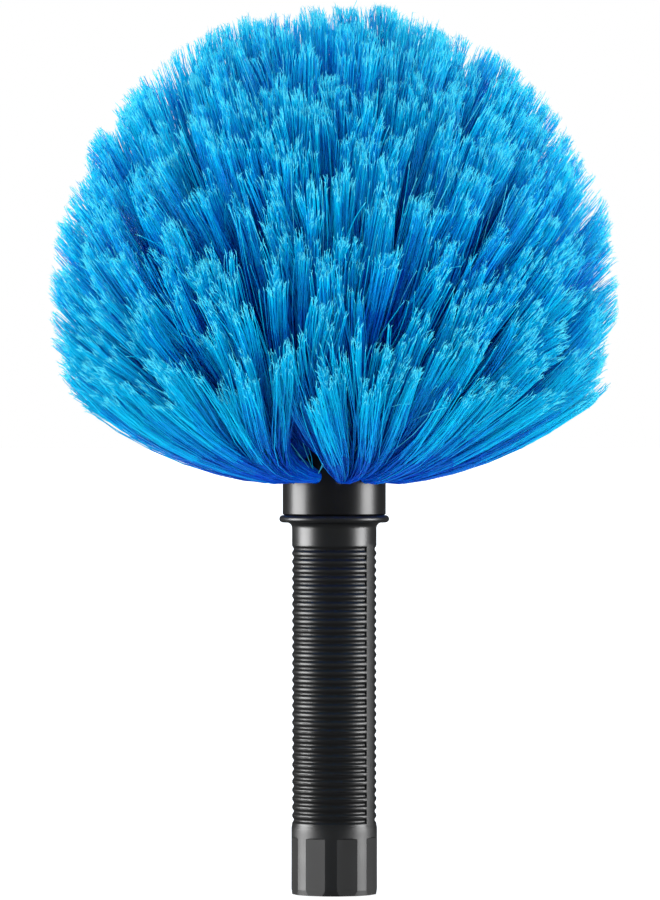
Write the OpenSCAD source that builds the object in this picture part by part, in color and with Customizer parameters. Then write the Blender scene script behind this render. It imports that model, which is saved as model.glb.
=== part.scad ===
// Round dome brush on a short ribbed grip, made to screw onto the tip of a pole.
// Every size is in millimetres and every angle in degrees. The origin is the
// centre of the grip's mouth and +Z runs up the grip's axis to the bristles.
// The front faces -Y. An azimuth is counted from the front towards +X.

/* [Grip] */
// Height of the shoulder that the brush block sits on
shoulder_z = 134.3; // [133:0.1:136]
// Outer diameter over the crests of the ribs
grip_d = 30; // [29.5:0.1:31]
// Distance from one rib to the next
rib_pitch = 3; // [2.8:0.1:3]
// Number of grooves between the ribs
groove_count = 33; // [8:1:33]
// Depth of a groove below the crests
groove_depth = 0.6; // [0.3:0.1:0.9]
// Height of the lower edge of the lowest groove
groove_start_z = 24.8; // [24.5:0.1:26]
// Width of the two smooth strips that cross the ribs
strip_w = 4.7; // [3:0.1:8]
// Azimuth of the first strip, the second being opposite
strip_azimuth = 59; // [0:1:90]

/* [Grip end] */
// Diameter of the plain end below the ribs
end_d = 30.4; // [30:0.1:31]
// Height of the flats on the plain end
flat_h = 20.4; // [15:0.1:22]
// Number of flats round the plain end
flat_count = 8; // [6:1:10]
// Distance from the axis to a flat
flat_apothem = 14.72; // [14.6:0.01:14.9]
// Azimuth of the middle of one flat
flat_azimuth = 18; // [0:1:45]

/* [Flange] */
// Diameter of the round bead under the brush block
bead_d = 39; // [38:0.1:40]
// Thickness of the bead
bead_h = 2.6; // [2.2:0.1:3]
// Radius of the hollow fillet from the bead to the grip
fillet_r = 2; // [1:0.1:2.5]

/* [Socket] */
// Minor diameter of the female thread, which is its wall's diameter
thread_minor_d = 13.97; // [13.9:0.01:14.1]
// Major diameter of the female thread, at the bottom of its groove
thread_major_d = 19.56; // [19:0.01:20]
// Distance from one turn of the thread to the next
thread_pitch = 5.08; // [4.5:0.01:6]
// Number of full turns of thread
thread_turns = 6; // [3:1:7]
// Width of the bottom of the thread's groove
thread_root_w = 0.9; // [0.7:0.05:1]
// Depth of the socket from the mouth
socket_depth = 50; // [48:1:55]
// Depth of the plain entry at the mouth
entry_depth = 3; // [2:0.5:4]

/* [Spigot] */
// Diameter of the spigot that enters the brush block
spigot_d = 27; // [25:0.5:28]
// Height of the spigot above the shoulder
spigot_h = 7.5; // [5:0.5:7.5]
// Diameter of the hollow inside the upper grip
core_d = 21; // [18:0.5:22]
// Thickness of the web between the socket and the hollow
web_h = 5; // [3:0.5:10]

/* [Brush block] */
// Diameter of the collar and of the drilled block above it
block_d = 36.6; // [36:0.1:37]
// Height at which the domed top of the block starts
dome_z = 160; // [159:0.5:162]

/* [Tufts] */
// Tufts in each row, from the lowest row to the top
row_counts = [12, 12, 11, 8, 4];
// Height of the lowest row of holes
first_row_z = 148.2; // [148:0.1:149]
// Distance between rows, measured along the block's surface
row_step = 8.6; // [8.3:0.1:8.8]
// Azimuth of the first tuft of the lowest row
first_azimuth = 8; // [0:1:15]
// Diameter of a tuft's hole
hole_d = 5.2; // [5:0.1:5.3]
// Depth of a tuft's hole
hole_depth = 7; // [6.5:0.1:7]
// Share of the bend between the surface and the tip that the drilling takes
drill_lean = 0.45; // [0.3:0.05:0.6]
// Radius of the ball that the bristle tips are trimmed to
trim_r = 100; // [95:1:105]
// Height of the middle of that ball
trim_z = 217; // [212:1:220]
// How far the lowest tips lie below the middle of the ball, as an angle
trim_droop = 24; // [15:1:24]
// Radius of a tuft's spread-out end
spread_r = 15.5; // [8:0.5:16]

/* [Anchors] */
// Length of the flat wire that is driven across the bottom of a hole
anchor_w = 6; // [5.6:0.1:6.2]
// Thickness of the wire
anchor_t = 0.4; // [0.3:0.05:0.5]
// Height of the wire along the hole
anchor_h = 1.6; // [1:0.1:2]

/* [Hidden] */
ROWS = len(row_counts);

grip_r = grip_d / 2;
end_r = end_d / 2;
bead_r = bead_d / 2;
block_r = block_d / 2;
spigot_r = spigot_d / 2;
core_r = core_d / 2;
hole_r = hole_d / 2;
minor_r = thread_minor_d / 2;
major_r = thread_major_d / 2;

// Small gaps and reliefs
glue_gap = 0.05; // radial gap round the spigot
tuft_gap = 0.15; // gap round a tuft in its hole
wire_gap = 0.05; // gap round an anchor where it crosses its tuft
heel_gap = 0.1; // gap under a tuft's folded heel
seat_relief = 0.5; // space above the spigot
past = 1; // how far a cutter runs past the surface it opens

// Grip end: the small lead at its rim
rim_h = 1.9;
rim_inset = 0.25;
flat_edge = 0.35;
step_start = 1.2; // below the lowest groove, where the end starts to narrow
step_end = 0.2; // below the lowest groove, where it has the grip's diameter

// Entry of the socket
entry_r = major_r + 0.25;
entry_chamfer = 0.8;
entry_lip = 0.01; // how far the chamfer starts outside the mouth
thread_start_z = entry_depth - thread_pitch / 2;
thread_flank = 14.5; // angle of each side of the thread's groove
thread_reach = 0.6; // how far the groove's cutter starts inside the bore

// Grooves: the plain crest that is left between two of them
crest_w = 0.24;
groove_w = rib_pitch - crest_w;
groove_steps = 10;
groove_clear = 1.2;
strip_half_angle = asin(strip_w / 2 / grip_r);
bead_z = shoulder_z - bead_h;
bead_root = 1; // how far the bead's section runs into the grip

// Block
seam_chamfer = 0.5;
mouth_clear = 3; // how far a hole's cutter runs out of its mouth
mouth_step = 3.4; // how far a tuft runs straight before it fans out
knuckle_r = 2.85; // the round bundle where the fan starts
fan_start_r = 2.45;
fan_past = 12; // how far the fan's cone runs past the trimming ball
anchor_depth = 5.4; // middle of the anchor below the block's surface

ROUND = 96;
FINE = 64;

// ---- Rules that place the tufts ----

// The total of the first n entries of a list
function total(list, n) = n <= 0 ? 0 : list[n - 1] + total(list, n - 1);

// How far row i lies up the block's surface beyond the start of its dome, as an angle
function dome_angle(i) =
    let (over = first_row_z + i * row_step - dome_z)
    over <= 0 ? 0 : over / block_r * 180 / PI;

// Radius and height of the middle of a hole's mouth in row i
function mouth(i) =
    dome_angle(i) <= 0
        ? [block_r, first_row_z + i * row_step]
        : [block_r * cos(dome_angle(i)), dome_z + block_r * sin(dome_angle(i))];

// Each tuft gets the same share of the trimmed ball. The sine of the latitude
// grows evenly with the area, so a row's middle follows from the tufts below it.
function tip_sine(i) =
    let (low = -sin(trim_droop))
    let (share = (total(row_counts, i) + row_counts[i] / 2) / total(row_counts, ROWS))
    low + (1 - low) * share;

// Radius and height of the middle of a tuft's tip in row i
function tip(i) =
    let (latitude = asin(tip_sine(i)))
    [trim_r * cos(latitude), trim_z + trim_r * sin(latitude)];

// The angle above the horizontal of a line between two [radius, height] points
function slope(a, b) = atan2(b[1] - a[1], b[0] - a[0]);

// The angle at which row i is drilled: between the surface's own and the tip's
function drill_angle(i) =
    dome_angle(i) + drill_lean * (slope(mouth(i), tip(i)) - dome_angle(i));

// The point on the tuft's own line at a distance outwards from the mouth
function along(i, distance) =
    mouth(i) + distance * [cos(drill_angle(i)), sin(drill_angle(i))];

// Rows are staggered by half a pitch from one to the next
function azimuth(i, k) = first_azimuth + 360 / row_counts[i] * (k - (i % 2) / 2);

// ---- Names ----

function two_digits(n) = n < 10 ? str("0", n) : str(n);
function tuft_name(i, k) = str("tuft_row", i + 1, "_", two_digits(k + 1));
function anchor_name(i) = str("anchors_row", i + 1);

// ---- Shared shapes ----

// Turns a shape drawn towards +X so that it faces an azimuth
module face_azimuth(angle) {
    rotate([0, 0, angle - 90]) children();
}

// Puts a shape drawn along +Z on a [radius, height] point, leaning at a slope
module lean_out(point, angle) {
    translate([point[0], 0, point[1]]) rotate([0, 90 - angle, 0]) children();
}

// Every hole of row i in turn
module each_hole(i) {
    for (k = [0 : row_counts[i] - 1]) face_azimuth(azimuth(i, k)) children();
}

// ---- Grip ----

// Half section of a groove: a cosine wave that starts and ends at the crest
function groove_wave() = [
    for (n = [0 : groove_steps])
        let (turn = n / groove_steps)
        [grip_r - groove_depth * (1 - cos(360 * turn)) / 2, groove_w * (turn - 0.5)]
];

module groove_section() {
    polygon(concat(
        [[grip_r + groove_clear, -groove_w / 2]],
        groove_wave(),
        [[grip_r + groove_clear, groove_w / 2]]
    ));
}

// One groove, in two arcs that stop at the strips
module groove() {
    for (side = [0, 180])
        rotate([0, 0, strip_azimuth - 90 + strip_half_angle + side])
            rotate_extrude(angle = 180 - 2 * strip_half_angle, $fn = ROUND)
                groove_section();
}

// The grip's outline without its ribs, flats and bores
module grip_outline() {
    polygon([
        [0, 0],
        [end_r - rim_inset, 0],
        [end_r, rim_h],
        [end_r, groove_start_z - step_start],
        [grip_r, groove_start_z - step_end],
        [grip_r, shoulder_z],
        [spigot_r, shoulder_z],
        [spigot_r, shoulder_z + spigot_h - seam_chamfer],
        [spigot_r - seam_chamfer, shoulder_z + spigot_h],
        [0, shoulder_z + spigot_h]
    ]);
}

// Bead with a half-round rim, and the hollow fillet below it
module flange_section() {
    rim_r = bead_h / 2;
    translate([grip_r - bead_root, bead_z])
        square([bead_r - rim_r - grip_r + bead_root, bead_h]);
    translate([bead_r - rim_r, bead_z + rim_r]) circle(r = rim_r, $fn = FINE);
    difference() {
        translate([grip_r - bead_root, bead_z - fillet_r])
            square([fillet_r + bead_root, fillet_r + rim_r]);
        translate([grip_r + fillet_r, bead_z - fillet_r]) circle(r = fillet_r, $fn = FINE);
    }
}

module grip_solid() {
    rotate_extrude($fn = ROUND) union() {
        grip_outline();
        flange_section();
    }
}

// The flats round the grip's end, each with a small slope at its top
module end_flats() {
    for (n = [0 : flat_count - 1])
        face_azimuth(flat_azimuth + n * 360 / flat_count)
            rotate([90, 0, 0])
                linear_extrude(height = end_d, center = true)
                    polygon([
                        [flat_apothem, -past],
                        [flat_apothem, flat_h - flat_edge],
                        [end_r, flat_h],
                        [end_r + past, flat_h],
                        [end_r + past, -past]
                    ]);
}

// Corners of the thread's groove at turn t, seen along the helix
function thread_ring(t) =
    let (inner = minor_r - thread_reach)
    let (root_half = thread_root_w / 2)
    let (mouth_half = root_half + tan(thread_flank) * (major_r - inner))
    let (z = thread_start_z + t * thread_pitch)
    [
        for (corner = [
            [inner, -mouth_half],
            [major_r, -root_half],
            [major_r, root_half],
            [inner, mouth_half]
        ])
        [corner[0] * cos(360 * t), corner[0] * sin(360 * t), z + corner[1]]
    ];

// The groove that the pole's thread runs in
module thread_groove() {
    steps = 24;
    count = thread_turns * steps;
    points = [for (n = [0 : count]) for (p = thread_ring(n / steps)) p];
    sides = [
        for (n = [0 : count - 1])
        for (c = [0 : 3])
        let (a = 4 * n + c)
        let (b = 4 * n + (c + 1) % 4)
        for (face = [[a, b, a + 4], [b, b + 4, a + 4]]) face
    ];
    last = 4 * count;
    caps = [[0, 2, 1], [0, 3, 2], [last, last + 1, last + 2], [last, last + 2, last + 3]];
    polyhedron(points = points, faces = concat(sides, caps), convexity = 10);
}

// The socket: a wide entry, then the thread's minor diameter to the bottom
module socket_bore() {
    translate([0, 0, -past]) cylinder(r = minor_r, h = socket_depth + past, $fn = ROUND);
    translate([0, 0, -past]) cylinder(r = entry_r, h = entry_depth + past, $fn = ROUND);
    translate([0, 0, -entry_lip])
        cylinder(r1 = entry_r + entry_chamfer, r2 = entry_r, h = entry_chamfer, $fn = ROUND);
}

// The hollow of the upper grip, open at the top of the spigot
module upper_core() {
    top = shoulder_z + spigot_h;
    bottom = socket_depth + web_h;
    translate([0, 0, bottom]) cylinder(r = core_r, h = top - bottom + past, $fn = ROUND);
}

module socket_handle() {
    color("#1b1c1e")
    difference() {
        grip_solid();
        socket_bore();
        thread_groove();
        upper_core();
        end_flats();
        for (n = [0 : groove_count - 1])
            translate([0, 0, groove_start_z + (n + 0.5) * rib_pitch]) groove();
    }
}

// ---- Brush block ----

module block_solid() {
    translate([0, 0, shoulder_z])
        cylinder(r1 = block_r - seam_chamfer, r2 = block_r, h = seam_chamfer, $fn = ROUND);
    translate([0, 0, shoulder_z + seam_chamfer])
        cylinder(r = block_r, h = dome_z - shoulder_z - seam_chamfer, $fn = ROUND);
    intersection() {
        translate([0, 0, dome_z]) sphere(r = block_r, $fn = ROUND);
        translate([0, 0, dome_z]) cylinder(r = block_d, h = block_d, $fn = ROUND);
    }
}

// One tuft hole, with the slit that its anchor bites into
module tuft_hole(i) {
    lean_out(along(i, -hole_depth), drill_angle(i))
        cylinder(r = hole_r, h = hole_depth + mouth_clear, $fn = FINE);
    lean_out(along(i, -anchor_depth), drill_angle(i))
        cube([anchor_w, anchor_t, anchor_h], center = true);
}

module brush_block() {
    color("#141517")
    difference() {
        block_solid();
        translate([0, 0, shoulder_z - past])
            cylinder(r = spigot_r + glue_gap, h = spigot_h + seat_relief + past, $fn = ROUND);
        for (i = [0 : ROWS - 1]) each_hole(i) tuft_hole(i);
    }
}

// ---- Tufts and their anchors ----

module anchors(i) {
    color("silver")
    each_hole(i)
        lean_out(along(i, -anchor_depth), drill_angle(i))
            cube([anchor_w, anchor_t, anchor_h], center = true);
}

// The part of a tuft that fans out, cut off by the trimming ball
module fan(i) {
    start = along(i, mouth_step);
    reach = norm(tip(i) - start);
    grown = spread_r + (spread_r - fan_start_r) * fan_past / reach;
    intersection() {
        lean_out(start, slope(start, tip(i)))
            cylinder(r1 = fan_start_r, r2 = grown, h = reach + fan_past, $fn = FINE);
        translate([0, 0, trim_z]) sphere(r = trim_r, $fn = ROUND);
    }
}

// The slot that the anchor runs through, across the folded heel
module anchor_slot(i) {
    lean_out(along(i, -anchor_depth), drill_angle(i))
        cube([anchor_w, anchor_t + 2 * wire_gap, anchor_h + 2 * wire_gap], center = true);
}

module tuft(i, k) {
    color("#1397d8")
    face_azimuth(azimuth(i, k)) {
        difference() {
            lean_out(along(i, heel_gap - hole_depth), drill_angle(i))
                cylinder(r = hole_r - tuft_gap, h = hole_depth + mouth_step, $fn = FINE);
            anchor_slot(i);
        }
        translate([along(i, mouth_step)[0], 0, along(i, mouth_step)[1]])
            sphere(r = knuckle_r, $fn = FINE);
        fan(i);
    }
}

// ---- What each name draws ----

socket_handle();
brush_block();
for (i = [0 : ROWS - 1])
    anchors(i);
for (i = [0 : ROWS - 1])
    for (k = [0 : row_counts[i] - 1])
        tuft(i, k);
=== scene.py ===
"""Looks for the dome brush head: bristle filaments, black mouldings, studio.

Every length is in metres in the CAD frame: the origin is the centre of the grip's
mouth, +Z runs up its axis and the front faces -Y. An azimuth is counted from the
front towards +X.
"""

import math

import bpy
import numpy as np
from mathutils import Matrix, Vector


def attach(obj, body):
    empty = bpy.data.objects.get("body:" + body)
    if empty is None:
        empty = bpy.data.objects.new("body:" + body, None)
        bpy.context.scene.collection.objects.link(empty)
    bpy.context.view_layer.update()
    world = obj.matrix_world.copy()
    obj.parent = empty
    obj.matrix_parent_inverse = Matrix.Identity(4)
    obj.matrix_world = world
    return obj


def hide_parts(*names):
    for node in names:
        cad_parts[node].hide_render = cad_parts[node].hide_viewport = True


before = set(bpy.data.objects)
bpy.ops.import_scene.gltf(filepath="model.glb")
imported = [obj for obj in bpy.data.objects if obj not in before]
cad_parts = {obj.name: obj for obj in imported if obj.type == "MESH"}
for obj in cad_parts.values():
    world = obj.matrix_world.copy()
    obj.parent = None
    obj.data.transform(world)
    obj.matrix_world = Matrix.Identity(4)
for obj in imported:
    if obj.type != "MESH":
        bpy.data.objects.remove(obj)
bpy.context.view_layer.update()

MM = 0.001
rng = np.random.default_rng(29)

# ---- The brush's own measures, the same as in its CAD source ----

ROW_COUNTS = (12, 12, 11, 8, 4)
BLOCK_R = 18.3 * MM
DOME_Z = 160 * MM
FIRST_ROW_Z = 148.2 * MM
ROW_STEP = 8.6 * MM
FIRST_AZIMUTH = math.radians(8)
DRILL_LEAN = 0.45
TRIM_R = 100 * MM
TRIM_Z = 217 * MM
TRIM_DROOP = math.radians(24)
ANCHOR_DEPTH = 5.4 * MM
GROOVES_Z = 24.8 * MM
GROOVES_TOP = 123.8 * MM
GRIP_R = 15 * MM
GROOVE_DEPTH = 0.6 * MM
STRIP_W = 4.7 * MM
STRIP_AZIMUTH = math.radians(59)

# ---- How the filaments gather and bend ----

# Clumps on the trimmed ball, and the fingers in a clump
CLUMPS = 400
CLUMP_SCATTER = 0.026  # how uneven the clumps' places are, as a share of the ball's radius
OWNER_SCATTER = 0.03  # how ragged the borders between tufts are
FINGERS_PER_CLUMP = (6, 14)  # from the first up to one less than the second
GATHER = 0.05  # how far a clump is pulled to its tuft's middle
FINGER_SPREAD = 0.036
FINGER_WEIGHTS = (0.5, 1.5)  # shares of their tuft's filaments
LOWEST_TIP = math.radians(-28)
LOWEST_BAND = 0.03
CLUMP_DEPTH = 11 * MM
FINGER_DEPTH = 7 * MM
DEPTH_POWER = 2.8  # most clumps and fingers reach the ball's surface
CLUMP_LEAN = 0.08
FINGER_LEAN = 0.06
CLUMP_SHADE = 0.35
FINGER_SHADE = 0.5
FINGER_SWAY = 0.9 * MM

# Filaments of a finger
HOLE_FILL_R = 2.4 * MM  # where they start, a little inside the hole's wall
FILAMENTS_PER_TUFT = 660
FILAMENT_R = 0.155 * MM
THICKNESS_SCATTER = 0.08
TIP_THINNING = 0.85
SIDES = 3
STEPS = np.array([0, 0.09, 0.2, 0.34, 0.5, 0.66, 0.82, 0.94, 0.985, 1.0])
TUBE_SIDE = np.array([0.31, 0.62, 0.72])  # turns the tubes' sides the same way all along
# A finger's filaments lie on a spiral, squeezed to an oval that differs between fingers
SPACING = 0.40 * MM
SPACING_SCATTER = 0.25
SPIRAL_START = 0.4
TURN = 2.4  # radians from one filament to the next
TURN_SCATTER = 0.25
SQUEEZE = 0.35
SQUEEZE_TURN = 1.7
LOOSE_SHARE = 0.35
LOOSE_SPREAD = 2.6
TIP_DEPTH = 1.3 * MM
TIP_SCATTER = 0.22 * MM
TUFT_HALF_W = 22 * MM  # off the tuft's tip by this much, a filament starts at the hole's edge
ROOT_SCATTER = 0.3
FILAMENT_LEAN = 0.028
WOBBLE = 0.28 * MM
WAVES = (0.8, 2.2)
DRILL_SHARE = 0.35  # how much of the drilling direction a filament starts with
LEAN_BACK = 0.35
SPILL = 0.22
ROOT_REACH = 0.3
TIP_REACH = 0.38
FILAMENT_SHADE = 0.55
# Paler single filaments: partly random tone and partly a painted highlight glinting on strands
PALE_SHARE = 0.06
PALE_GAIN = 2.6
# Tufts whose roots lean aside, which parts the lowest row at the front
ROOT_LEANS = {"tuft_row1_12": -1.0, "tuft_row2_01": -0.1, "tuft_row1_01": 0.36}

# How far from the ball's middle the tips reach, and how much they bend up, by latitude
REACH_LATITUDES = np.radians([-28.5, -25, -20, -12, 0, 30, 90])
REACHES = np.array([99.5, 103.4, 104.6, 102.6, 101.2, 100.4, 99.6]) * MM
LIFT_LATITUDES = np.radians([-28.5, 0, 30, 60])
LIFTS = np.radians([13, 8, 2, 0])
START_LIFT = 0.6

# The smooth lower edge of the brush, and painted light that makes the outer part of its lowest
# filaments paler, lifting the shade that falls on them
SKIRT_Z = 144.9 * MM
SKIRT_SLOPE = 0.0494
SKIRT_BEND = 4.53  # per metre
SKIRT_LAYER = 0.7 * MM
SKIRT_FULL = 20 * MM
SKIRT_LATITUDES = np.radians([-28, -14, 4])
# Painted light on the skirt: how much paler the lowest filaments are painted, by latitude
SKIRT_PAINTED_LIGHT = np.array([2.9, 1.2, 0.0])
PAINTED_LIGHT_FULL = 52 * MM
PAINTED_LIGHT_POWER = 2.2

# Single long filaments that cross the others, most of them paler: partly real strands and partly
# a painted highlight on single strands
STRAYS_PER_TUFT = 12
STRAY_ROOT = 0.8 * MM
STRAY_AIM = 0.22
STRAY_DEPTH = 12 * MM
STRAY_REACH = 0.34
STRAY_SHADES = (3.0, 10.0)

# Split ends
FIBRIL_R = 0.085 * MM
FIBRIL_CHANCES = (0.95, 0.7, 0.4)  # for a first, second and third split end
FIBRIL_SPREAD = 0.5
FIBRIL_LENGTHS = (0.5 * MM, 1.7 * MM)
FIBRIL_SINK = 0.15 * MM  # how far inside the tip a split end starts


def unit(v):
    return v / np.maximum(np.linalg.norm(v, axis=-1, keepdims=True), 1e-12)


def sphere_noise(count, size):
    return rng.normal(0, size, (count, 3))


# ---- Where each tuft starts and what it points at ----


def azimuth_of(row, k):
    return FIRST_AZIMUTH + 2 * math.pi / ROW_COUNTS[row] * (k - (row % 2) / 2)


def outward(azimuth):
    return np.array([math.sin(azimuth), -math.cos(azimuth), 0.0])


def row_mouth(row):
    """Radius, height and surface angle of a row's holes."""
    over = FIRST_ROW_Z + row * ROW_STEP - DOME_Z
    if over <= 0:
        return BLOCK_R, FIRST_ROW_Z + row * ROW_STEP, 0.0
    angle = over / BLOCK_R
    return BLOCK_R * math.cos(angle), DOME_Z + BLOCK_R * math.sin(angle), angle


def row_tip_latitude(row):
    low = -math.sin(TRIM_DROOP)
    share = (sum(ROW_COUNTS[:row]) + ROW_COUNTS[row] / 2) / sum(ROW_COUNTS)
    return math.asin(low + (1 - low) * share)


def make_tufts():
    """One entry a tuft: its CAD node, mouth, drilling direction, tip direction and tip."""
    found = []
    for row, count in enumerate(ROW_COUNTS):
        r, z, surface = row_mouth(row)
        latitude = row_tip_latitude(row)
        tip_r, tip_z = TRIM_R * math.cos(latitude), TRIM_Z + TRIM_R * math.sin(latitude)
        chord = math.atan2(tip_z - z, tip_r - r)
        drill = surface + DRILL_LEAN * (chord - surface)
        for k in range(count):
            out = outward(azimuth_of(row, k))
            up = np.array([0.0, 0.0, 1.0])
            found.append(
                {
                    "node": f"tuft_row{row + 1}_{k + 1:02d}",
                    "mouth": out * r + up * z,
                    "drill": out * math.cos(drill) + up * math.sin(drill),
                    "toward": out * math.cos(latitude) + up * math.sin(latitude),
                    "tip": out * tip_r + up * tip_z,
                }
            )
    return found


tufts = make_tufts()
CENTRE = np.array([0.0, 0.0, TRIM_Z])


# ---- Clumps on the trimmed ball, the fingers in them, and their filaments ----


def spread_over_ball(count):
    """Directions from the ball's middle, each with the same share of its surface."""
    n = np.arange(count)
    low = math.sin(LOWEST_TIP)
    height = 1 - (1 - low) * (n + 0.5) / count
    turn = n * math.pi * (3 - math.sqrt(5))
    flat = np.sqrt(1 - height**2)
    even = np.stack([flat * np.cos(turn), flat * np.sin(turn), height], 1)
    return unit(even + sphere_noise(count, CLUMP_SCATTER))


def across(direction):
    """Two directions square to each of the given ones."""
    helper = np.where(np.abs(direction[:, 2:3]) < 0.95, [[0.0, 0.0, 1.0]], [[1.0, 0.0, 0.0]])
    side = unit(np.cross(helper, direction))
    return side, np.cross(direction, side)


def keep_above_skirt(direction):
    """Raises directions that are too low, and leaves the others as they are."""
    low = math.sin(LOWEST_TIP)
    height = np.maximum(direction[:, 2], low + rng.uniform(0, LOWEST_BAND, len(direction)))
    flat = unit(direction[:, :2]) * np.sqrt(1 - height**2)[:, None]
    return np.column_stack([flat, height])


def make_fingers():
    """Fingers as arrays: the tuft that each belongs to, its direction from the ball's middle,
    its tip's depth, its lean, its share of the filaments, its shade and its sway."""
    clumps = spread_over_ball(CLUMPS)
    toward = np.array([t["toward"] for t in tufts])
    owner = np.argmax((clumps + sphere_noise(CLUMPS, OWNER_SCATTER)) @ toward.T, 1)
    per_clump = rng.integers(*FINGERS_PER_CLUMP, CLUMPS)
    clump = np.repeat(np.arange(CLUMPS), per_clump)
    count = len(clump)
    gathered = unit(clumps + GATHER * toward[owner])
    direction = unit(gathered[clump] + sphere_noise(count, FINGER_SPREAD))
    clump_depth = CLUMP_DEPTH * rng.random(CLUMPS) ** DEPTH_POWER
    clump_lean = sphere_noise(CLUMPS, CLUMP_LEAN)
    return {
        "owner": owner[clump],
        "direction": keep_above_skirt(direction),
        "depth": clump_depth[clump] + FINGER_DEPTH * rng.random(count) ** DEPTH_POWER,
        "lean": clump_lean[clump] + sphere_noise(count, FINGER_LEAN),
        "weight": rng.uniform(*FINGER_WEIGHTS, count),
        "shade": rng.normal(0, CLUMP_SHADE, CLUMPS)[clump] + rng.normal(0, FINGER_SHADE, count),
        "sway": sphere_noise(count, FINGER_SWAY),
    }


def bezier(p0, p1, p2, p3, t):
    """Points at t on one cubic curve for each row of the four control points."""
    t = t[None, :, None]
    a, b, c, d = (p[:, None, :] for p in (p0, p1, p2, p3))
    s = 1 - t
    return s**3 * a + 3 * s**2 * t * b + 3 * s * t**2 * c + t**3 * d


def lift_to_skirt(points):
    """Raises what hangs below the brush's smooth lower edge, a curve that steepens outwards."""
    over = np.maximum(0, np.hypot(points[..., 0], points[..., 1]) - BLOCK_R)
    edge = SKIRT_Z + SKIRT_SLOPE * over + SKIRT_BEND * over**2
    layer = rng.exponential(SKIRT_LAYER, (len(points), 1)) * np.minimum(1, over / SKIRT_FULL)
    points[..., 2] = np.maximum(points[..., 2], edge + layer)
    return points


def lines_of(tuft, members, fingers):
    """Centre lines of one tuft's filaments, with a shade and a painted-light lift of the skirt
    for each.
    """
    weight = fingers["weight"][members]
    counts = np.maximum(1, np.round(FILAMENTS_PER_TUFT * weight / weight.sum())).astype(int)
    finger = np.repeat(members, counts)
    within = np.concatenate([np.arange(c) for c in counts])
    total = len(finger)

    out = fingers["direction"][finger]
    side, rise = across(out)
    turn = within * TURN + rng.normal(0, TURN_SCATTER, total)
    radius = SPACING * np.sqrt(within + SPIRAL_START) * rng.normal(1, SPACING_SCATTER, total)
    radius = np.where(rng.random(total) < LOOSE_SHARE, LOOSE_SPREAD * radius, radius)
    squeeze = 1 + SQUEEZE * np.sin(finger * SQUEEZE_TURN)
    offset = side * (radius * np.cos(turn) * squeeze)[:, None]
    offset += rise * (radius * np.sin(turn) / squeeze)[:, None]
    depth = fingers["depth"][finger] + np.abs(rng.normal(0, TIP_DEPTH, total))
    latitude = np.arcsin(np.clip(out[:, 2], -1, 1))
    reached = np.interp(latitude, REACH_LATITUDES, REACHES)
    tip = CENTRE + out * (reached - depth)[:, None] + offset

    apart = tip - tuft["tip"]
    hole_side, hole_rise = across(np.tile(tuft["drill"], (total, 1)))
    u = (apart * hole_side).sum(1) / TUFT_HALF_W
    v = (apart * hole_rise).sum(1) / TUFT_HALF_W
    u = u + rng.normal(0, ROOT_SCATTER, total)
    v = v + rng.normal(0, ROOT_SCATTER, total)
    cap = np.maximum(1, np.hypot(u, v))
    root = hole_side * (HOLE_FILL_R * u / cap)[:, None]
    root += hole_rise * (HOLE_FILL_R * v / cap)[:, None]
    mouth = tuft["mouth"] + root
    heel = mouth - tuft["drill"] * ANCHOR_DEPTH

    chord = unit(tip - mouth)
    reach = np.linalg.norm(tip - mouth, axis=1)[:, None]
    lift = np.interp(latitude, LIFT_LATITUDES, LIFTS)[:, None]
    upright = unit(np.array([[0.0, 0.0, 1.0]]) - chord * chord[:, 2:3])
    tuft_chord = unit(tuft["tip"] - tuft["mouth"])
    start = chord + DRILL_SHARE * (tuft["drill"] - tuft_chord)
    start = unit(start - np.tan(START_LIFT * lift) * upright)
    lean = fingers["lean"][finger] + sphere_noise(total, FILAMENT_LEAN)
    end = unit(chord + np.tan(lift) * upright + lean)
    spill = SPILL * root / HOLE_FILL_R
    sideways = across(tuft["drill"][None, :])[0] * ROOT_LEANS.get(tuft["node"], 0.0)
    start = unit(start - LEAN_BACK * lean + spill + sideways)

    after_root = mouth + start * reach * ROOT_REACH
    before_tip = tip - end * reach * TIP_REACH
    points = bezier(mouth, after_root, before_tip, tip, STEPS)
    middle = (4 * STEPS * (1 - STEPS))[None, :, None]
    phase = rng.uniform(0, 2 * math.pi, (total, 1))
    waves = rng.uniform(*WAVES, (total, 1))
    wobble = np.sin(2 * math.pi * waves * STEPS[None, :] + phase)[:, :, None]
    points += middle * wobble * sphere_noise(total, WOBBLE)[:, None, :]
    points += middle * fingers["sway"][finger][:, None, :]
    points[:, -1] += sphere_noise(total, TIP_SCATTER)
    points = lift_to_skirt(points)
    points = np.concatenate([heel[:, None, :], points], 1)
    shade = fingers["shade"][finger] + rng.normal(0, FILAMENT_SHADE, total)
    shade += PALE_GAIN * (rng.random(total) < PALE_SHARE)
    painted_light = np.interp(latitude, SKIRT_LATITUDES, SKIRT_PAINTED_LIGHT)
    return points, shade, painted_light


def strays_of(tuft):
    """A few long filaments that cross the others, and their shades; most are paler, partly as
    painted highlights on single strands.
    """
    count = STRAYS_PER_TUFT
    mouth = tuft["mouth"] + sphere_noise(count, STRAY_ROOT)
    heel = mouth - tuft["drill"] * ANCHOR_DEPTH
    aim = unit(tuft["toward"] + sphere_noise(count, STRAY_AIM))
    aim = keep_above_skirt(aim)
    tip = CENTRE + aim * (TRIM_R - rng.uniform(0, STRAY_DEPTH, count))[:, None]
    reach = np.linalg.norm(tip - mouth, axis=1)[:, None]
    chord = unit(tip - mouth)
    start = unit(chord + sphere_noise(count, STRAY_AIM))
    end = unit(chord + sphere_noise(count, STRAY_AIM))
    after_root = mouth + start * reach * STRAY_REACH
    before_tip = tip - end * reach * STRAY_REACH
    points = lift_to_skirt(bezier(mouth, after_root, before_tip, tip, STEPS))
    return np.concatenate([heel[:, None, :], points], 1), rng.uniform(*STRAY_SHADES, count)


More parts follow.
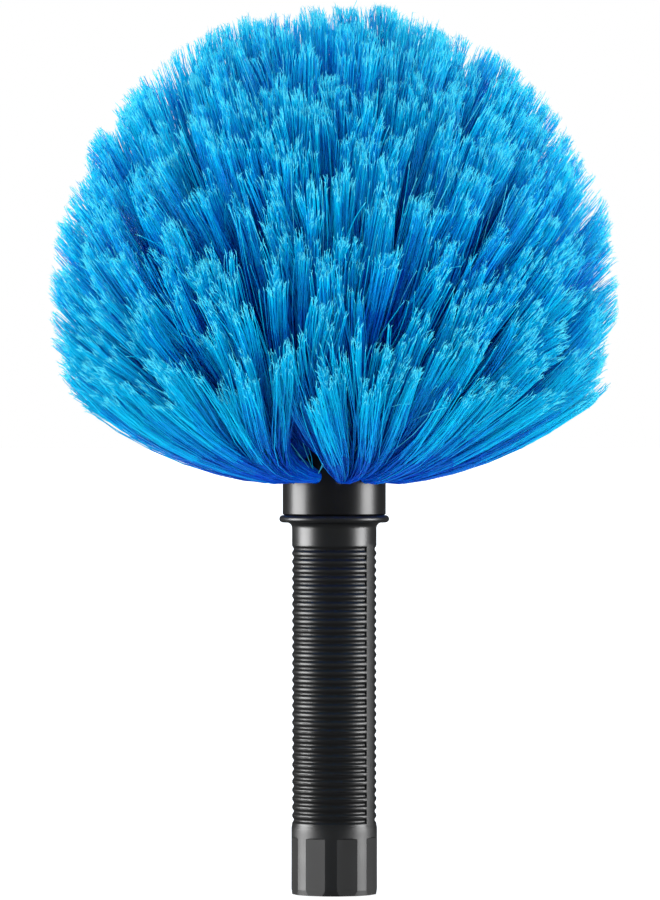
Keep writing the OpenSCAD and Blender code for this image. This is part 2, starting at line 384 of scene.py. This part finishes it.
def tube_mesh(points, radius):
    """Vertices and quads of thin tubes along the centre lines, and the index of each ring's
    vertices, from which the tips are capped.
    """
    count, rings = points.shape[:2]
    forward = unit(np.gradient(points, axis=1))
    side = unit(np.cross(forward, TUBE_SIDE))
    rise = np.cross(forward, side)
    turn = np.arange(SIDES) * 2 * math.pi / SIDES
    spin = rng.uniform(0, 2 * math.pi, (count, 1, 1)) + turn[None, None, :]
    ring = side[:, :, None, :] * np.cos(spin)[..., None]
    ring = ring + rise[:, :, None, :] * np.sin(spin)[..., None]
    verts = points[:, :, None, :] + ring * radius[:, :, None, None]
    index = np.arange(count * rings * SIDES).reshape(count, rings, SIDES)
    after = np.roll(index, -1, axis=2)
    quads = np.stack([index[:, :-1], after[:, :-1], after[:, 1:], index[:, 1:]], -1)
    return verts.reshape(-1, 3), quads, index


# Palette index by the distance from the tip: darker towards the root, which is painted shade of
# the tufts' deep inside, and paler at the frayed tips
PALETTE_STOPS = np.array([0.0, 1.2, 4.0, 12.0, 26.0, 48.0, 85.0]) * MM
PALETTE_INDEX = np.array([7.0, 6.3, 5.3, 4.1, 2.3, 0.7, 0.0])
SEGMENT_SHADE = 0.3
TIP_SHADE = 7
PALE_FROM = 6  # filaments shaded more than this are as pale as a tip all along


def shades_of(points, shade, painted_light):
    """Palette index of each tube segment: from dark at the root, a painted shade of the tufts'
    deep inside, to bright at the tip.
    """
    length = np.linalg.norm(np.diff(points, axis=1), axis=2)
    from_root = np.cumsum(length, axis=1) - length / 2
    from_tip = np.cumsum(length[:, ::-1], axis=1)[:, ::-1] - length / 2
    index = np.interp(from_tip, PALETTE_STOPS, PALETTE_INDEX)
    index = index + shade[:, None] + rng.normal(0, SEGMENT_SHADE, index.shape)
    # Painted light: the lowest filaments grow paler away from the root, lifting the shade under
    # the skirt
    index = index + painted_light[:, None] * np.minimum(1, from_root / PAINTED_LIGHT_FULL) ** PAINTED_LIGHT_POWER
    pale = shade[:, None] > PALE_FROM
    index[:, :-1] = np.where(pale, index[:, :-1], np.minimum(index[:, :-1], TIP_SHADE - 1))
    return np.clip(np.round(index), 0, TIP_SHADE).astype(np.int32)


def fibrils_of(points):
    """Short split ends on the tips: three-sided spikes as (vertices, triangles)."""
    tip = points[:, -1]
    forward = unit(tip - points[:, -2])
    chosen = [np.flatnonzero(rng.random(len(tip)) < chance) for chance in FIBRIL_CHANCES]
    chosen = np.concatenate(chosen)
    tip, forward = tip[chosen], forward[chosen]
    count = len(tip)
    aim = unit(forward + sphere_noise(count, FIBRIL_SPREAD))
    side, rise = across(aim)
    apex = tip + aim * rng.uniform(*FIBRIL_LENGTHS, count)[:, None]
    turn = np.arange(SIDES) * 2 * math.pi / SIDES
    base = tip[:, None, :] - aim[:, None, :] * FIBRIL_SINK
    base = base + FIBRIL_R * (
        side[:, None, :] * np.cos(turn)[None, :, None]
        + rise[:, None, :] * np.sin(turn)[None, :, None]
    )
    verts = np.concatenate([base, apex[:, None, :]], 1).reshape(-1, 3)
    first = np.arange(count)[:, None] * (SIDES + 1)
    corners = [[n, (n + 1) % SIDES, SIDES] for n in range(SIDES)]
    tris = np.concatenate([first + np.array([c]) for c in corners])
    return verts, tris


def mesh_from(name, verts, quads, tris, materials, quad_index, tri_index):
    """A smooth-shaded object in the scene, with a material index for each face."""
    mesh = bpy.data.meshes.new(name)
    mesh.vertices.add(len(verts))
    mesh.vertices.foreach_set("co", verts.astype(np.float32).ravel())
    corners = np.concatenate([quads.ravel(), tris.ravel()]).astype(np.int32)
    mesh.loops.add(len(corners))
    mesh.loops.foreach_set("vertex_index", corners)
    sizes = np.concatenate([np.full(len(quads), 4), np.full(len(tris), 3)])
    starts = np.concatenate([[0], np.cumsum(sizes)[:-1]]).astype(np.int32)
    mesh.polygons.add(len(sizes))
    mesh.polygons.foreach_set("loop_start", starts)
    mesh.polygons.foreach_set("use_smooth", np.ones(len(sizes), bool))
    for m in materials:
        mesh.materials.append(m)
    index = np.concatenate([quad_index, tri_index]).astype(np.int32)
    mesh.polygons.foreach_set("material_index", index)
    mesh.update(calc_edges=True)
    mesh.validate()
    piece = bpy.data.objects.new(name, mesh)
    bpy.context.scene.collection.objects.link(piece)
    return piece


def build_tuft(tuft, members, fingers, materials):
    """The piece that replaces one CAD tuft: filaments, strays and split ends in one mesh."""
    points, shade, painted_light = lines_of(tuft, members, fingers)
    strays, pale = strays_of(tuft)
    points = np.concatenate([points, strays])
    shade, painted_light = np.concatenate([shade, pale]), np.concatenate([painted_light, 0 * pale])
    count, rings = points.shape[:2]
    radius = np.full((count, rings), FILAMENT_R)
    radius = radius * rng.normal(1, THICKNESS_SCATTER, (count, 1))
    radius[:, -2:] *= TIP_THINNING
    verts, quads, index = tube_mesh(points, radius)
    colour = shades_of(points, shade, painted_light)
    quad_index = np.repeat(colour.ravel(), SIDES)
    caps = np.concatenate([index[:, -1], index[:, 0, ::-1]])
    cap_index = np.concatenate([np.full(count, TIP_SHADE), colour[:, 0]])
    spikes, spike_tris = fibrils_of(points)
    tris = np.concatenate([caps, spike_tris + len(verts)])
    tri_index = np.concatenate([cap_index, np.full(len(spike_tris), TIP_SHADE)])
    verts = np.concatenate([verts, spikes])
    piece = mesh_from(
        "bristles_" + tuft["node"].removeprefix("tuft_"),
        verts,
        quads.reshape(-1, 4),
        tris,
        materials,
        quad_index,
        tri_index,
    )
    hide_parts(tuft["node"])
    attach(piece, "root")
    return piece


# ---- Materials ----


# Noise scales are per metre
CRIMP_SCALE = 420.0
CRIMP_DEPTH = 0.6 * MM
CLOUD_SCALE = 90.0
CLOUD_TINT = (0.8, 1.25)  # times the moulding's colour
GRAIN_SCALE = 2600.0
GRAIN_DEPTH = 0.12 * MM
GRIP_SPECULAR = 0.65
BLOCK_SPECULAR = 0.5
WIRE_SCALE = 1500.0
WIRE_SHINE = (0.25, 0.5)


def new_material(name):
    material = bpy.data.materials.new(name)
    material.use_nodes = True
    tree = material.node_tree
    return material, tree, tree.nodes["Principled BSDF"]


def add(tree, kind, **values):
    """A new node, with each value set on the input of that name or else on the node."""
    node = tree.nodes.new(kind)
    for key, value in values.items():
        if key in node.inputs:
            node.inputs[key].default_value = value
        else:
            setattr(node, key, value)
    return node


# From the root to the tip; the blue is the filaments' own, and the darkening towards the root is
# painted shade
FILAMENT_COLOURS = (
    (0.0, 0.08, 0.64),
    (0.0, 0.13, 0.69),
    (0.0, 0.21, 0.75),
    (0.0, 0.30, 0.80),
    (0.0, 0.385, 0.86),
    (0.0, 0.49, 0.88),
    (0.0, 0.60, 0.90),
    (0.08, 0.76, 0.94),
)

# Roughness, specular level and crimp strength: the darker shades are smooth and glossy,
# and the paler, frayed ones are duller
SMOOTH_SHADES = 4
SMOOTH_FINISH = (0.24, 0.8, 1.0)
FRAYED_FINISH = (0.42, 0.22, 0.5)


def filament_material(n, colour):
    """Drawn polyester with fine crimps that break up its highlights."""
    material, tree, shader = new_material(f"filament_shade_{n}")
    roughness, specular, crimping = SMOOTH_FINISH if n < SMOOTH_SHADES else FRAYED_FINISH
    shader.inputs["Base Color"].default_value = (*colour, 1)
    shader.inputs["Roughness"].default_value = roughness
    shader.inputs["IOR"].default_value = 1.52
    shader.inputs["Specular IOR Level"].default_value = specular
    place = add(tree, "ShaderNodeTexCoord")
    crimp = add(tree, "ShaderNodeTexNoise", Scale=CRIMP_SCALE, Detail=2.0, Roughness=0.6)
    bump = add(tree, "ShaderNodeBump", Strength=crimping, Distance=CRIMP_DEPTH)
    tree.links.new(place.outputs["Object"], crimp.inputs["Vector"])
    tree.links.new(crimp.outputs["Fac"], bump.inputs["Height"])
    tree.links.new(bump.outputs["Normal"], shader.inputs["Normal"])
    return material


def share_between(tree, value, low, high):
    """0 where the value is at low, 1 where it is at high, and even in between."""
    ramp = add(tree, "ShaderNodeMapRange")
    ramp.inputs["From Min"].default_value = low
    ramp.inputs["From Max"].default_value = high
    tree.links.new(value, ramp.inputs["Value"])
    return ramp.outputs["Result"]


def spread_over(tree, value, limits):
    """Takes a value from 0 to 1 to the same share of the way between two limits."""
    ramp = add(tree, "ShaderNodeMapRange")
    ramp.inputs["To Min"].default_value = limits[0]
    ramp.inputs["To Max"].default_value = limits[1]
    tree.links.new(value, ramp.inputs["Value"])
    return ramp.outputs["Result"]


def combine(tree, operation, first, second):
    """The output of a Math node on two values, each a number or another node's output."""
    node = add(tree, "ShaderNodeMath", operation=operation)
    for n, value in enumerate((first, second)):
        if isinstance(value, (int, float)):
            node.inputs[n].default_value = value
        else:
            tree.links.new(value, node.inputs[n])
    return node.outputs[0]


# The grip's duller end and strips, its grainier strips, and a painted sheen that makes its crests
# and strips paler than its grooves
DULLER = 0.12
STRIP_GRAIN = 0.6
# Painted sheen: the colour added on the grip's crests and strips
PAINTED_SHEEN_COLOUR = (0.005, 0.005, 0.0049, 1)
END_BLEND = 3 * MM
STRIP_BLEND = 0.1 * MM
NECK_BLEND = 0.3 * MM


def grip_masks(tree, place):
    """How much a point is on the grip's plain end, on its strips and on its crests."""
    apart = add(tree, "ShaderNodeSeparateXYZ")
    tree.links.new(place, apart.inputs[0])
    end = share_between(tree, apart.outputs["Z"], GROOVES_Z, GROOVES_Z - END_BLEND)
    over_x = combine(tree, "MULTIPLY", apart.outputs["X"], math.cos(STRIP_AZIMUTH))
    over_y = combine(tree, "MULTIPLY", apart.outputs["Y"], math.sin(STRIP_AZIMUTH))
    off_strip = combine(tree, "ABSOLUTE", combine(tree, "ADD", over_x, over_y), 0.0)
    edge = STRIP_W / 2
    strip = share_between(tree, off_strip, edge + STRIP_BLEND, edge - STRIP_BLEND)
    below_neck = share_between(tree, apart.outputs["Z"], GROOVES_TOP + NECK_BLEND, GROOVES_TOP)
    strip = combine(tree, "MULTIPLY", strip, below_neck)
    flat = add(tree, "ShaderNodeVectorMath", operation="MULTIPLY")
    flat.inputs[1].default_value = (1, 1, 0)
    tree.links.new(place, flat.inputs[0])
    radius = add(tree, "ShaderNodeVectorMath", operation="LENGTH")
    tree.links.new(flat.outputs[0], radius.inputs[0])
    crest = share_between(tree, radius.outputs["Value"], GRIP_R - GROOVE_DEPTH, GRIP_R)
    return end, strip, crest


def moulded_plastic(name, colour, shine, grain, gripped=False):
    """Black moulded plastic with cloudy gloss and a fine grain. The grip's end and strips are
    duller, and its crests and strips get a painted sheen: a paler colour that leaves the grooves
    dark as if in shade."""
    material, tree, shader = new_material(name)
    place = add(tree, "ShaderNodeTexCoord").outputs["Object"]
    cloud = add(tree, "ShaderNodeTexNoise", Scale=CLOUD_SCALE, Detail=5.0, Roughness=0.55)
    fine = add(tree, "ShaderNodeTexNoise", Scale=GRAIN_SCALE, Detail=3.0, Roughness=0.6)
    tree.links.new(place, cloud.inputs["Vector"])
    tree.links.new(place, fine.inputs["Vector"])
    rough = spread_over(tree, cloud.outputs["Fac"], shine)
    tint = add(tree, "ShaderNodeValToRGB")
    for element, share in zip(tint.color_ramp.elements, CLOUD_TINT):
        element.color = (*[c * share for c in colour], 1)
    tree.links.new(cloud.outputs["Fac"], tint.inputs["Fac"])
    bump = add(tree, "ShaderNodeBump", Strength=grain, Distance=GRAIN_DEPTH)
    tree.links.new(fine.outputs["Fac"], bump.inputs["Height"])
    base = tint.outputs["Color"]
    if gripped:
        end, strip, crest = grip_masks(tree, place)
        duller = combine(tree, "MULTIPLY", combine(tree, "MAXIMUM", end, strip), DULLER)
        rough = combine(tree, "ADD", rough, duller)
        coarser = combine(tree, "MULTIPLY", strip, STRIP_GRAIN)
        tree.links.new(combine(tree, "ADD", coarser, grain), bump.inputs["Strength"])
        # Painted sheen: a paler colour on the crests and strips, so the grooves stay dark as if
        # in shade
        sheen_mix = add(tree, "ShaderNodeMix", data_type="RGBA", blend_type="ADD")
        sheen_mix.inputs[7].default_value = PAINTED_SHEEN_COLOUR
        sheen_share = combine(tree, "MAXIMUM", combine(tree, "POWER", crest, 2.0), strip)
        tree.links.new(sheen_share, sheen_mix.inputs[0])
        tree.links.new(base, sheen_mix.inputs[6])
        base = sheen_mix.outputs[2]
    tree.links.new(rough, shader.inputs["Roughness"])
    tree.links.new(base, shader.inputs["Base Color"])
    tree.links.new(bump.outputs["Normal"], shader.inputs["Normal"])
    shader.inputs["IOR"].default_value = 1.5
    specular = GRIP_SPECULAR if gripped else BLOCK_SPECULAR
    shader.inputs["Specular IOR Level"].default_value = specular
    return material


def steel_wire():
    """Drawn steel, with a gloss that varies along the wire."""
    material, tree, shader = new_material("steel_wire")
    shader.inputs["Metallic"].default_value = 1.0
    shader.inputs["Base Color"].default_value = (0.72, 0.72, 0.7, 1)
    place = add(tree, "ShaderNodeTexCoord")
    drawn = add(tree, "ShaderNodeTexNoise", Scale=WIRE_SCALE, Detail=3.0)
    tree.links.new(place.outputs["Object"], drawn.inputs["Vector"])
    rough = spread_over(tree, drawn.outputs["Fac"], WIRE_SHINE)
    tree.links.new(rough, shader.inputs["Roughness"])
    return material


def dress(node, material):
    """Puts the material in each of a CAD node's slots."""
    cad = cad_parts[node]
    for slot in cad.material_slots:
        slot.material = material


grip = moulded_plastic("grip_black", (0.003, 0.003, 0.0031), (0.3, 0.4), 0.06, gripped=True)
block = moulded_plastic("block_black", (0.0035, 0.0035, 0.004), (0.26, 0.36), 0.05)
steel = steel_wire()
dress("socket_handle", grip)
dress("brush_block", block)
for row in range(len(ROW_COUNTS)):
    dress(f"anchors_row{row + 1}", steel)

# ---- Bristles ----

shades = [filament_material(n, colour) for n, colour in enumerate(FILAMENT_COLOURS)]
fingers = make_fingers()
pieces = [
    build_tuft(tuft, np.flatnonzero(fingers["owner"] == number), fingers, shades)
    for number, tuft in enumerate(tufts)
]

# ---- Studio ----

scene = bpy.context.scene
scene.view_settings.view_transform = "Standard"

LAMP_AIM = Vector((0, 0, 0.17))
FLOOR_HALF = 40.0
FLOOR_Z = -0.3 * MM
FLOOR_LEVEL = 0.9
CAMERA_LENS = 265
CAMERA_AT = (-0.0015, -2.35, 0.167)
CAMERA_AIM = (-0.0015, 0, 0.1574)


def make_world():
    """White to the camera, dim to glossy rays, and a pale blue ambient light to the rest."""
    world = bpy.data.worlds.new("studio")
    world.use_nodes = True
    tree = world.node_tree
    tree.nodes.clear()
    output = add(tree, "ShaderNodeOutputWorld")
    dim = add(tree, "ShaderNodeBackground", Color=(0.75, 0.87, 1.0, 1), Strength=0.85)
    white = add(tree, "ShaderNodeBackground", Color=(1, 1, 1, 1), Strength=1.0)
    gloss = add(tree, "ShaderNodeBackground", Color=(1, 1, 1, 1), Strength=0.10)
    path = add(tree, "ShaderNodeLightPath")
    shiny = add(tree, "ShaderNodeMixShader")
    seen = add(tree, "ShaderNodeMixShader")
    tree.links.new(path.outputs["Is Glossy Ray"], shiny.inputs[0])
    tree.links.new(dim.outputs[0], shiny.inputs[1])
    tree.links.new(gloss.outputs[0], shiny.inputs[2])
    tree.links.new(path.outputs["Is Camera Ray"], seen.inputs[0])
    tree.links.new(shiny.outputs[0], seen.inputs[1])
    tree.links.new(white.outputs[0], seen.inputs[2])
    tree.links.new(seen.outputs[0], output.inputs["Surface"])
    scene.world = world


def make_floor():
    """A pale floor that is clear from below and lets the low lamps through."""
    mesh = bpy.data.meshes.new("floor")
    turns = ((-1, -1), (1, -1), (1, 1), (-1, 1))
    corners = [(x * FLOOR_HALF, y * FLOOR_HALF, FLOOR_Z) for x, y in turns]
    mesh.from_pydata(corners, [], [(0, 1, 2, 3)])
    floor = bpy.data.objects.new("floor", mesh)
    scene.collection.objects.link(floor)
    material, tree, shader = new_material("floor_white")
    shader.inputs["Base Color"].default_value = (FLOOR_LEVEL, FLOOR_LEVEL, FLOOR_LEVEL, 1)
    shader.inputs["Roughness"].default_value = 0.9
    shader.inputs["Emission Color"].default_value = (1, 1, 1, 1)
    path = add(tree, "ShaderNodeLightPath")
    level = add(tree, "ShaderNodeMath", operation="MULTIPLY")
    level.inputs[1].default_value = FLOOR_LEVEL
    tree.links.new(path.outputs["Is Camera Ray"], level.inputs[0])
    tree.links.new(level.outputs[0], shader.inputs["Emission Strength"])
    behind = add(tree, "ShaderNodeNewGeometry")
    clear = add(tree, "ShaderNodeBsdfTransparent")
    sided = add(tree, "ShaderNodeMixShader")
    tree.links.new(behind.outputs["Backfacing"], sided.inputs[0])
    tree.links.new(shader.outputs[0], sided.inputs[1])
    tree.links.new(clear.outputs[0], sided.inputs[2])
    tree.links.new(sided.outputs[0], tree.nodes["Material Output"].inputs["Surface"])
    mesh.materials.append(material)
    floor.visible_glossy = False
    floor.visible_shadow = False


def softbox(
    name, azimuth, elevation, distance, width, height, power, only=None, diffuse=True, glossy=True
):
    """A rectangular lamp that faces the middle of the brush. It can be kept to one collection,
    and left out of diffuse light or of reflections."""
    a, e = math.radians(azimuth), math.radians(elevation)
    back = Vector((math.sin(a) * math.cos(e), -math.cos(a) * math.cos(e), math.sin(e)))
    data = bpy.data.lights.new(name, "AREA")
    data.shape = "RECTANGLE"
    data.size, data.size_y = width, height
    data.energy = power
    lamp = bpy.data.objects.new(name, data)
    lamp.location = LAMP_AIM + back * distance
    lamp.rotation_mode = "QUATERNION"
    lamp.rotation_quaternion = (-back).to_track_quat("-Z", "Y")
    lamp.visible_camera = False
    lamp.visible_glossy = glossy
    lamp.visible_diffuse = diffuse
    if only is not None:
        lamp.light_linking.receiver_collection = only
    scene.collection.objects.link(lamp)


def make_camera():
    """A long lens from the front, at the height of the ball's lower half."""
    data = bpy.data.cameras.new("camera")
    data.lens = CAMERA_LENS
    data.sensor_width = 36
    data.clip_end = 100
    camera = bpy.data.objects.new("camera", data)
    camera.location = CAMERA_AT
    aim = Vector(CAMERA_AIM) - camera.location
    camera.rotation_mode = "QUATERNION"
    camera.rotation_quaternion = aim.to_track_quat("-Z", "Y")
    scene.collection.objects.link(camera)
    scene.camera = camera


make_world()
make_floor()
mouldings = bpy.data.collections.new("mouldings")
mouldings.objects.link(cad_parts["socket_handle"])
mouldings.objects.link(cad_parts["brush_block"])
tufted = bpy.data.collections.new("tufted")
for piece in pieces:
    tufted.objects.link(piece)

# Name, azimuth and elevation in degrees, distance, width, height, watts
softbox("left_strip", -87, -4, 1.0, 0.70, 0.55, 16, only=mouldings, diffuse=False)
softbox("right_strip", 79, -4, 1.0, 0.54, 0.55, 12, only=mouldings, diffuse=False)
softbox("key", -5, 40, 1.4, 1.5, 1.0, 9, only=tufted)
softbox("top", 180, 82, 1.8, 1.4, 1.4, 7, only=tufted, glossy=False)
softbox("front", 3, -12, 2.0, 1.8, 1.2, 22, only=tufted, glossy=False)
softbox("left_wing", -80, -18, 2.0, 1.6, 1.4, 40, only=tufted, glossy=False)
softbox("right_wing", 80, -18, 2.0, 1.6, 1.4, 40, only=tufted, glossy=False)
softbox("sparkle", 12, -6, 1.5, 0.35, 0.35, 16, only=tufted, diffuse=False)
softbox("back", 180, 10, 2.0, 1.6, 1.2, 20, only=tufted, glossy=False)
softbox("fill", 5, 8, 2.0, 1.6, 1.2, 17, only=mouldings, glossy=False)
make_camera()
